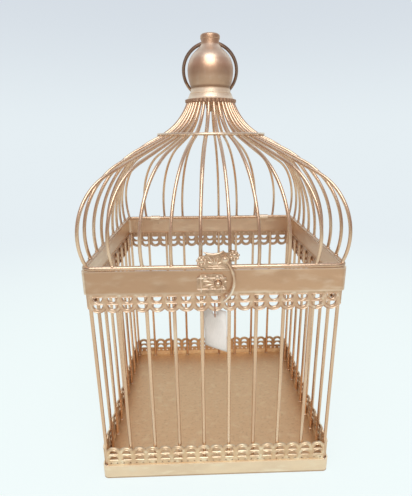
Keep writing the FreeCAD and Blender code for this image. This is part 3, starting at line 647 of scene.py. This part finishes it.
class CARDBOX_OT_stage(bpy.types.Operator):
    """Set up the floor, the backdrop, the lamps and the camera"""

    bl_idname = "cardbox.stage"
    bl_label = "Stage"

    def execute(self, context):
        scene = context.scene
        setting = scene.card_box_stage
        scene.view_settings.view_transform = "Standard"
        self.camera(scene, setting)
        self.floor(scene, setting)
        self.backdrop(scene, setting)
        self.lamp(
            scene, "upper_lamp", place=(-0.05, -0.78, 1.18), target=(0, 0, 0.25), size=(0.9, 1.0),
            power=setting.lamp)
        self.lamp(
            scene, "front_lamp", place=(0.0, -1.15, 0.86), target=(0, 0, 0.36), size=(0.8, 0.45),
            power=0.2 * setting.lamp)
        return {"FINISHED"}

    def camera(self, scene, setting):
        pitch, yaw, roll = setting.pitch, setting.yaw, setting.roll
        ahead = Vector((math.sin(yaw) * math.cos(pitch), math.cos(yaw) * math.cos(pitch), -math.sin(pitch)))
        right = Vector((math.cos(yaw), -math.sin(yaw), 0))
        up = right.cross(ahead)
        rolled_right = math.cos(roll) * right + math.sin(roll) * up
        rolled_up = math.cos(roll) * up - math.sin(roll) * right
        eye = bpy.data.objects.new("camera", bpy.data.cameras.new("camera"))
        scene.collection.objects.link(eye)
        eye.matrix_world = Matrix((
            (rolled_right.x, rolled_up.x, -ahead.x, setting.eye[0]),
            (rolled_right.y, rolled_up.y, -ahead.y, setting.eye[1]),
            (rolled_right.z, rolled_up.z, -ahead.z, setting.eye[2]),
            (0, 0, 0, 1)))
        eye.data.sensor_fit = "VERTICAL"
        eye.data.sensor_height = 36
        eye.data.lens = setting.lens
        eye.data.shift_x, eye.data.shift_y = setting.shift
        eye.data.clip_start = 10 * MM
        scene.camera = eye

    def floor(self, scene, setting):
        form = bmesh.new()
        bmesh.ops.create_circle(form, cap_ends=True, segments=96, radius=4.0)
        mesh = bpy.data.meshes.new("floor")
        form.to_mesh(mesh)
        form.free()
        floor = bpy.data.objects.new("floor", mesh)
        floor.location.z = -0.2 * MM
        scene.collection.objects.link(floor)
        material, finish = new_finish("floor_paper")
        tone = tuple(setting.floor)
        lit = finish.node("ShaderNodeBsdfDiffuse", None, {"Color": tone})
        x, y = finish.parts(finish.place())[:2]
        far = finish.ease((x * x + y * y) ** 0.5, 0.2, 1.1)
        shown_tone = finish.tint(far, tone, tuple(setting.skyline))
        plain = finish.node("ShaderNodeEmission", None, {"Color": shown_tone, "Strength": 1.0})
        share = self.looks(finish) * (0.8 + 0.2 * far) + self.mirrored(finish) * (0.9 - 0.9 * far)
        shown = finish.node("ShaderNodeMixShader", None, {0: share, 1: lit, 2: plain})
        finish.node("ShaderNodeOutputMaterial", None, {"Surface": shown})
        mesh.materials.append(material)

    def looks(self, finish):
        """One for what the camera looks at."""
        return finish.node("ShaderNodeLightPath", None, None, "Is Camera Ray")

    def mirrored(self, finish):
        """One for what a gloss or a clear surface shows."""
        glossy = finish.node("ShaderNodeLightPath", None, None, "Is Glossy Ray")
        return glossy.most(finish.node("ShaderNodeLightPath", None, None, "Is Transmission Ray"))

    def backdrop(self, scene, setting):
        world = bpy.data.worlds.new("backdrop")
        scene.world = world
        finish = Finish(world)
        y, z = finish.parts(finish.node("ShaderNodeTexCoord", output="Generated"))[1:]
        wall = finish.tint(finish.ease(z, 0.0, 0.3), tuple(setting.skyline), tuple(setting.backdrop))
        around = finish.tint(finish.ease(y, 0.7, 0.1), wall, tuple(setting.room))
        around = finish.tint(self.looks(finish), around, wall)
        shown = finish.tint(self.looks(finish).most(self.mirrored(finish)), FILL_LIGHT, around)
        light = finish.node("ShaderNodeBackground", None, {"Color": shown, "Strength": 1.0})
        finish.node("ShaderNodeOutputWorld", None, {"Surface": light})

    def lamp(self, scene, name, place, target, size, power):
        data = bpy.data.lights.new(name, "AREA")
        data.shape = "RECTANGLE"
        data.size, data.size_y = size
        data.energy = power
        made = bpy.data.objects.new(name, data)
        made.location = place
        made.rotation_euler = (Vector(target) - Vector(place)).to_track_quat("-Z", "Y").to_euler()
        scene.collection.objects.link(made)


class CARDBOX_OT_sheet_metal(bpy.types.Operator):
    """Paint the skirt, the floor pan, the band and the hinge straps"""

    bl_idname = "cardbox.sheet_metal"
    bl_label = "Sheet Metal"

    def execute(self, context):
        skirt_paint = gold_paint(
            "skirt_gold", 0.02, (0.4, 0.4, 1), skirt_shade, dust=0.9, cast=(1.0, 1.0, 0.95))
        pan_paint = gold_paint(
            "pan_gold", 0.12, (0.8, 1, 1), pan_shade, tone_shift=-0.1, cloud_scale=420, top=0.2,
            cast=(1.04, 1.0, 0.85))
        band_paint = gold_paint(
            "band_gold", 0.02, (0.35, 0.35, 1), band_shade, tone_shift=0.2, cloud_scale=90,
            cast=(0.985, 0.945, 0.905))
        strap_paint = gold_paint("strap_gold", 0.0, (1, 1, 1), band_shade)
        dress(skirt_paint, "base_skirt")
        dress(pan_paint, "floor_pan")
        dress(band_paint, "top_band")
        dress(strap_paint, "hinge_strap_left", "hinge_strap_right")
        return {"FINISHED"}


class CARDBOX_OT_wires(bpy.types.Operator):
    """Paint the upright wires and add the welds at their feet and heads"""

    bl_idname = "cardbox.wires"
    bl_label = "Upright Wires"

    def execute(self, context):
        sizes = context.scene.card_box_sizes
        paint = gold_paint("wire_gold", -0.11, (1, 1, 0.12), wire_shade, tone_shift=0.06, peel_depth=0.25)
        dress(paint, *four("bars"), "corner_posts")
        low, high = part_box("corner_posts")
        wire_r = (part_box("bars_front")[1].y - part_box("bars_front")[0].y) / 2
        line = high.x - wire_r
        step = 2 * line / (sizes.wire_count + 1)
        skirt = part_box("base_skirt")[1]
        foot_z, head_z = low.z + 0.3 * MM, high.z - 4.0 * MM
        filled_in, filled_z = 4.0 * MM - skirt.x, skirt.z - 1.1 * MM
        form = bmesh.new()
        for k in range(4):
            for n in range(sizes.wire_count + 1):
                x = -line + n * step
                number = SEEDS_PER_SIDE * k + n
                foot = quarter(k) @ Vector((x, -line, foot_z))
                # Heads stand proud of the wires, but inward at the corner posts.
                side = -0.5 if n else 0.6
                head = quarter(k) @ Vector((x, -line + side * wire_r, head_z))
                weld_lump(form, foot, scaled(FOOT_WELD, sizes.weld), FOOT_SEED + number)
                weld_lump(form, head, scaled(HEAD_WELD, sizes.weld), HEAD_SEED + number)
            filled = quarter(k) @ Vector((filled_in, filled_in, filled_z))
            weld_lump(form, filled, scaled(FILLED_WELD, sizes.weld), FILLED_SEED + k)
        add_piece("wire_welds", form, "cage", paint)
        return {"FINISHED"}


class CARDBOX_OT_lace(bpy.types.Operator):
    """Paint the pierced strips and press lips round their openings and scallops"""

    bl_idname = "cardbox.lace"
    bl_label = "Pierced Lace"

    def execute(self, context):
        lower_paint = gold_paint(
            "lower_lace_gold", -0.02, (1, 1, 1), lace_shade, metal=0.7, tone_shift=0.06,
            cast=(1.0, 1.02, 0.94))
        upper_paint = gold_paint(
            "upper_lace_gold", -0.02, (1, 1, 1), lace_shade, metal=0.84, tone_shift=0.28)
        dress(lower_paint, *four("lower_lace"))
        dress(upper_paint, *four("upper_lace"))
        self.strip(context, "lower_lace_lips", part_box("lower_lace_front")[1].z, 1, lower_paint)
        self.strip(context, "upper_lace_lips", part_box("upper_lace_front")[0].z, -1, upper_paint)
        return {"FINISHED"}

    def strip(self, context, name, tip, way, paint):
        """Lips on the four strips of one height, with their tips upward or downward."""
        sizes = context.scene.card_box_sizes
        low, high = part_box("lower_lace_front")
        middle = (low.y + high.y) / 2
        rise = (high.y - low.y) / 2 + sizes.lip_rise
        half = high.x
        step = 2 * half / sizes.scallops
        reach = sizes.opening_w / 2
        valley = tip - way * sizes.scallop_rise
        form = bmesh.new()
        for k in range(4):
            crest = []
            for n in range(sizes.scallops):
                centre = -half + (n + 0.5) * step
                for row in (sizes.row_a, sizes.row_b):
                    flat = tip - way * row
                    top = flat + way * sizes.opening_h
                    bow = arc_points((centre + reach, flat), (centre, top), (centre - reach, flat), 12)
                    chord = [(centre + reach * share, flat) for share in (-0.6, 0.0, 0.6)]
                    bead(form, bow + chord, middle, sizes.lip, rise, quarter(k), closed=True)
                hill = arc_points(
                    (centre - step / 2, valley), (centre, tip), (centre + step / 2, valley), 6)
                crest += hill[:-1]
            crest.append((half, valley))
            crest = [(x, z - way * sizes.lip) for x, z in crest]
            bead(form, crest, middle, sizes.lip, rise, quarter(k))
        add_piece(name, form, "cage", paint)


class CARDBOX_OT_dome(bpy.types.Operator):
    """Paint the lid's rod, ribs and hoop and add their welds"""

    bl_idname = "cardbox.dome"
    bl_label = "Dome"

    def execute(self, context):
        sizes = context.scene.card_box_sizes
        paint = gold_paint("dome_gold", -0.12, (1, 1, 0.3), dome_shade, peel_depth=0.2)
        rod_paint = gold_paint("rod_gold", -0.14, (0.3, 0.3, 1), dome_shade, tone_shift=-0.04, peel_depth=0.2)
        dress(paint, *four("ribs"), "corner_ribs")
        dress(rod_paint, "lid_frame")
        # The hoop has its own paler paint: painted highlight.
        dress(gold_paint("hoop_gold", -0.1, (0.3, 0.3, 1), hoop_shade, peel_depth=0.2), "dome_hoop")
        rod_low, rod_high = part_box("lid_frame")
        hoop_low, hoop_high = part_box("dome_hoop")
        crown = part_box("crown_plate")[0].z
        rod_r = (rod_high.z - rod_low.z) / 2
        line = rod_high.x - rod_r
        step = 2 * line / (sizes.wire_count + 1)
        rod_bend = 6.0 * MM
        corner = line - rod_bend * (1 - math.sqrt(0.5))
        foot_z = rod_high.z - 0.2 * MM
        hoop_z = (hoop_low.z + hoop_high.z) / 2 - 1.4 * MM
        crown_z = crown - 0.6 * MM
        form = bmesh.new()
        for k in range(4):
            for n in range(sizes.wire_count + 1):
                x, y = (-line + n * step, -line) if n else (-corner, -corner)
                foot = quarter(k) @ Vector((x, y, foot_z))
                top, hoop = self.rib_places(sizes, foot.x, foot.y)
                number = SEEDS_PER_SIDE * k + n
                shape = RIB_WELD
                if foot.y > 0.9 * corner:
                    # The back row clears the band when the lid is open.
                    foot.y -= 0.3 * sizes.weld
                    shape = BACK_RIB_WELD
                weld_lump(form, foot, scaled(shape, sizes.weld), RIB_SEED + number)
                weld_lump(form, (hoop.x, hoop.y, hoop_z), scaled(HOOP_WELD, sizes.weld), HOOP_SEED + number)
                weld_lump(form, (top.x, top.y, crown_z), scaled(CROWN_WELD, sizes.weld), CROWN_SEED + number)
        add_piece("dome_welds", form, "lid", paint)
        return {"FINISHED"}

    def rib_places(self, sizes, x, y):
        """Where the rib over a point of the rod meets the crown and the hoop, seen from above."""
        bearing = math.atan2(y, x)
        side = math.floor(bearing / (math.pi / 2) + 0.5) * math.pi / 2
        off = bearing - side
        turn = bearing + sizes.crown_spread * (math.tan(off) * math.pi / 4 - off)
        top = Vector((sizes.crown_r * math.cos(turn), sizes.crown_r * math.sin(turn)))
        out = (Vector((x, y)) - top).normalized()
        along = top.dot(out)
        return top, top + out * (math.sqrt(along ** 2 + sizes.hoop_r ** 2 - sizes.crown_r ** 2) - along)


class CARDBOX_OT_finial(bpy.types.Operator):
    """Paint the finial and turn the rings of its collar"""

    bl_idname = "cardbox.finial"
    bl_label = "Finial"

    def execute(self, context):
        paint = gold_paint("finial_gold", 0.02, (1, 1, 1), finial_shade, metal=0.92, cast=(1.0, 0.97, 0.98))
        collar_paint = gold_paint("collar_gold", 0.08, (1, 1, 1), finial_shade, metal=0.6)
        fastener_paint = gold_paint("fastener_gold", 0.08, (1, 1, 1), latch_shade)
        dress(paint, "finial_ball", "finial_knob", "crown_plate")
        dress(collar_paint, "finial_collar")
        dress(fastener_paint, "finial_stud", "finial_washer", "finial_nut")
        low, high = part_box("finial_collar")
        foot_r = high.x
        step_z = (low.z + high.z) / 2
        flare = [(foot_r + out * MM, low.z + up * MM) for out, up in COLLAR_FLARE]
        form = bmesh.new()
        lathe(form, flare, (0, 0, 0), (0, 0, 1), 96)
        turned_ring(form, foot_r - 1.6 * MM, step_z - 0.5 * MM, 0.6 * MM)
        turned_ring(form, foot_r - 2.3 * MM, step_z + 0.7 * MM, 0.7 * MM)
        turned_ring(form, foot_r - 3.0 * MM, high.z - 0.5 * MM, 0.6 * MM)
        add_piece("collar_rings", form, "lid", collar_paint)
        return {"FINISHED"}


class CARDBOX_OT_ring(bpy.types.Operator):
    """Finish the carrying ring"""

    bl_idname = "cardbox.ring"
    bl_label = "Carrying Ring"

    def execute(self, context):
        dress(ring_bronze(), "carry_ring")
        return {"FINISHED"}


class CARDBOX_OT_latch(bpy.types.Operator):
    """Press the ornament of the two latch plates and finish hook and stud"""

    bl_idname = "cardbox.latch"
    bl_label = "Latch"

    def execute(self, context):
        # The ornament, stud and rivets wear a paler paint as painted highlight, the plates' ground a darker
        # one as painted shade.
        paint = gold_paint("latch_gold", -0.04, (1, 1, 1), latch_shade)
        dress(gold_paint("latch_ground_shade", 0.02, (1, 1, 1), ground_shade), "hasp_plate", "catch_plate")
        dress(paint, "catch_stud")
        dress(gold_paint("hook_gold", -0.08, (1, 1, 1), hook_shade), "latch_hook")
        self.hasp(context, paint)
        self.catch(context, paint)
        return {"FINISHED"}

    def leaf(self, form, root, angle, length, y, width, rise):
        """Pressed leaf that swells in its middle and comes to a point."""
        way = (math.cos(angle), math.sin(angle))
        steps = 10
        path = [(root[0] + way[0] * length * k / steps, root[1] + way[1] * length * k / steps)
                for k in range(steps + 1)]
        bead(form, path, y, width, rise, taper=True)

    def hasp(self, context, paint):
        """Rosettes round the rivets, a crest, two ridges and a spray of leaves."""
        sizes = context.scene.card_box_sizes
        rise = sizes.ornament
        low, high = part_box("hasp_plate")
        y = low.y
        middle = (low.x + high.x) / 2
        rivet_low, rivet_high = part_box("hasp_rivets")
        head_r = sizes.rivet_head / 2
        left_ear = (rivet_low.x + head_r, y, rivet_low.z + head_r)
        right_ear = (rivet_high.x - head_r, y, rivet_high.z - head_r)
        petals, rosette_r, petal_r = 7, 3.25 * MM, 1.25 * MM
        form = bmesh.new()
        for ear in (left_ear, right_ear):
            for k in range(petals):
                angle = 2 * math.pi * (k + 0.25) / petals
                petal = Vector(ear) + Vector((rosette_r * math.cos(angle), 0, rosette_r * math.sin(angle)))
                weld_lump(form, petal, (petal_r, rise, petal_r), PETAL_SEED + k)
        peak, dip, horn, top = middle - 4.0 * MM, 2.4 * MM, 8.0 * MM, high.z - 0.9 * MM
        crest = arc_points((peak + horn, top), (peak, top - dip), (peak - horn, top), 24)
        bead(form, crest, y, 0.9 * MM, rise, taper=True)
        for up, reach in ((1.5, 9.5), (3.4, 8.0)):
            ridge = [(middle + reach * MM * k / 8, low.z + up * MM) for k in range(-8, 9)]
            bead(form, ridge, y, 0.6 * MM, 0.8 * rise, taper=True)
        root = (middle - 2.2 * MM, low.z + 4.6 * MM)
        for degrees, length in HASP_LEAVES:
            self.leaf(form, root, math.radians(degrees), length * MM, y, 0.95 * MM, rise)
        add_piece("hasp_ornament", form, "lid", paint)

    def catch(self, context, paint):
        """Rim with cusped corners, a collar round the stud and leaves that spring from it."""
        rise = context.scene.card_box_sizes.ornament
        low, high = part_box("catch_plate")
        y = low.y
        stud_low, stud_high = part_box("catch_stud")
        stud = ((stud_low.x + stud_high.x) / 2, (stud_low.z + stud_high.z) / 2)
        cusp, inset, rim_half = 3.0 * MM, 0.7 * MM, 0.6 * MM
        collar_r, spring_r, leaf_share = 3.4 * MM, 4.4 * MM, 0.8
        corners = (
            (high.x, high.z, 180, 270), (high.x, low.z, 90, 180),
            (low.x, low.z, 0, 90), (low.x, high.z, 270, 360))
        left, right, foot, head = low.x + inset, high.x - inset, low.z + inset, high.z - inset
        rim = []
        for x, z, start, end in corners:
            angles = [math.radians(end - (end - start) * k / 6) for k in range(7)]
            rim += [(x + (cusp + inset) * math.cos(a), z + (cusp + inset) * math.sin(a)) for a in angles]
        rim = [(min(max(x, left), right), min(max(z, foot), head)) for x, z in rim]
        form = bmesh.new()
        bead(form, rim, y, rim_half, 0.8 * rise, closed=True)
        collar = [(stud[0] + collar_r * math.cos(a), stud[1] + collar_r * math.sin(a))
                  for a in (2 * math.pi * k / 32 for k in range(32))]
        bead(form, collar, y, rim_half, rise, closed=True)
        for degrees, length in CATCH_LEAVES:
            angle = math.radians(degrees)
            root = (stud[0] + spring_r * math.cos(angle), stud[1] + spring_r * math.sin(angle))
            self.leaf(form, root, angle, length * MM * leaf_share, y, 0.9 * MM, rise)
        add_piece("catch_ornament", form, "cage", paint)


class CARDBOX_OT_rivets(bpy.types.Operator):
    """Domed rivets of the straps, the plates and the hook"""

    bl_idname = "cardbox.rivets"
    bl_label = "Rivets"

    def execute(self, context):
        paint = gold_paint("rivet_gold", -0.06, (1, 1, 1), latch_shade)
        self.row("hasp_rivets", "lid", -1, 2, paint)
        self.row("catch_rivets", "cage", -1, 2, paint)
        self.row("hook_rivet", "lid", -1, 1, paint)
        self.row("strap_rivets", "cage", 1, 4, paint)
        return {"FINISHED"}

    def row(self, node, body, way, count, paint):
        """Rivets of one node, with their heads toward the front or the back."""
        sizes = bpy.context.scene.card_box_sizes
        low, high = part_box(node)
        head_r = sizes.rivet_head / 2
        shank_r = sizes.rivet_shank / 2
        length = high.y - low.y - sizes.rivet_rise
        face = (low.y if way < 0 else high.y) - way * sizes.rivet_rise
        first = Vector((low.x + head_r, face, low.z + head_r))
        last = Vector((high.x - head_r, face, high.z - head_r))
        strap_step = Vector((6.4 * MM, 0, 0))
        spots = [first, last, first + strap_step, last - strap_step][:count]
        dome = [(math.cos(a), math.sin(a)) for a in (math.pi / 2 * k / 8 for k in range(9))]
        pole_r = 0.1 * MM
        profile = [
            (pole_r, -length), (0.8 * shank_r, -length), (shank_r, 0.25 * MM - length), (shank_r, 0.0),
            (head_r, 0.0)]
        profile += [(max(head_r * c, pole_r), sizes.rivet_rise * (0.2 + 0.8 * s)) for c, s in dome]
        form = bmesh.new()
        for spot in spots:
            lathe(form, profile, spot, (0, way, 0))
        made = add_piece(node + "_domed", form, body, paint, sharp=math.radians(35))
        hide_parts(node)


class CARDBOX_OT_tag(bpy.types.Operator):
    """Paper tag with a slight curl, on its copper loop"""

    bl_idname = "cardbox.tag"
    bl_label = "Paper Tag"

    def execute(self, context):
        sizes = context.scene.card_box_sizes
        dress(loop_copper(), "tag_loop")
        low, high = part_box("hang_tag")
        swing = next(joint for joint in frame["joints"] if joint["name"] == "tag_swing")
        pivot = Vector(swing["pos_m"])
        yaw = math.radians(-37)
        across = Vector((math.cos(yaw), math.sin(yaw), 0))
        inward = Vector((-math.sin(yaw), math.cos(yaw), 0))
        hole_drop, hole_r = 4.0 * MM, 2.0 * MM
        hole = Vector((pivot.x, pivot.y, high.z - hole_drop))
        half = (high.x - low.x) / (2 * math.cos(yaw)) - 0.2 * MM
        top, split, foot = hole_drop, -8.0 * MM, low.z - hole.z
        columns_wide, rows_high, rows_below = 8, 4, 12
        form = bmesh.new()

        def spot(u, w):
            """A point of the sheet from its place across and above the hole."""
            drop = (top - w) / (top - foot)
            bow = sizes.tag_curl * drop ** 2.2 + 0.5 * MM * (u / half) ** 2 * drop
            return form.verts.new(hole + across * u + inward * bow + Vector((0, 0, w)))

        columns = [half * (2 * k / columns_wide - 1) for k in range(columns_wide + 1)]
        rises = [split + (top - split) * k / rows_high for k in range(rows_high + 1)]
        rim = [(u, split) for u in columns] + [(half, w) for w in rises[1:]]
        rim += [(u, top) for u in reversed(columns[:-1])] + [(-half, w) for w in reversed(rises[1:-1])]
        rings = []
        for share in (0.0, 0.3, 1.0):
            ring = []
            for u, w in rim:
                angle = math.atan2(w, u)
                hole_u, hole_w = hole_r * math.cos(angle), hole_r * math.sin(angle)
                ring.append(spot(hole_u + (u - hole_u) * share, hole_w + (w - hole_w) * share))
            rings.append(ring)
        for first, second in zip(rings, rings[1:]):
            for k in range(len(rim)):
                j = (k + 1) % len(rim)
                form.faces.new((first[k], first[j], second[j], second[k]))
        above = rings[-1][:columns_wide + 1]
        for k in range(1, rows_below + 1):
            row = [spot(u, split + (foot - split) * k / rows_below) for u in columns]
            for n in range(columns_wide):
                form.faces.new((above[n], above[n + 1], row[n + 1], row[n]))
            above = row
        made = add_piece("paper_tag", form, "tag", tag_paper())
        sheet = made.modifiers.new("sheet", "SOLIDIFY")
        sheet.thickness = sizes.tag_sheet
        sheet.offset = 0
        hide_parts("hang_tag")
        return {"FINISHED"}


class CARDBOX_PT_sidebar(bpy.types.Panel):
    """Steps and settings of the card box"""

    bl_idname = "CARDBOX_PT_sidebar"
    bl_label = "Wire Card Box"
    bl_space_type = "VIEW_3D"
    bl_region_type = "UI"
    bl_category = "Card Box"

    def draw(self, context):
        for step in STEPS:
            self.layout.operator(step.bl_idname)
        for group in ("card_box_sizes", "card_box_finishes", "card_box_stage"):
            owner = getattr(context.scene, group)
            box = self.layout.box()
            for key in owner.__annotations__:
                box.prop(owner, key)


STEPS = (
    CARDBOX_OT_stage,
    CARDBOX_OT_sheet_metal,
    CARDBOX_OT_wires,
    CARDBOX_OT_lace,
    CARDBOX_OT_dome,
    CARDBOX_OT_finial,
    CARDBOX_OT_ring,
    CARDBOX_OT_latch,
    CARDBOX_OT_rivets,
    CARDBOX_OT_tag,
)
CLASSES = (CardBoxSizes, CardBoxFinishes, CardBoxStage, *STEPS, CARDBOX_PT_sidebar)


def register():
    for item in CLASSES:
        bpy.utils.register_class(item)
    bpy.types.Scene.card_box_sizes = PointerProperty(type=CardBoxSizes)
    bpy.types.Scene.card_box_finishes = PointerProperty(type=CardBoxFinishes)
    bpy.types.Scene.card_box_stage = PointerProperty(type=CardBoxStage)


def unregister():
    del bpy.types.Scene.card_box_stage
    del bpy.types.Scene.card_box_finishes
    del bpy.types.Scene.card_box_sizes
    for item in reversed(CLASSES):
        bpy.utils.unregister_class(item)


def main():
    register()
    bpy.ops.cardbox.stage()
    bpy.ops.cardbox.sheet_metal()
    bpy.ops.cardbox.wires()
    bpy.ops.cardbox.lace()
    bpy.ops.cardbox.dome()
    bpy.ops.cardbox.finial()
    bpy.ops.cardbox.ring()
    bpy.ops.cardbox.latch()
    bpy.ops.cardbox.rivets()
    bpy.ops.cardbox.tag()
    bpy.context.view_layer.update()


if __name__ == "__main__":
    main()
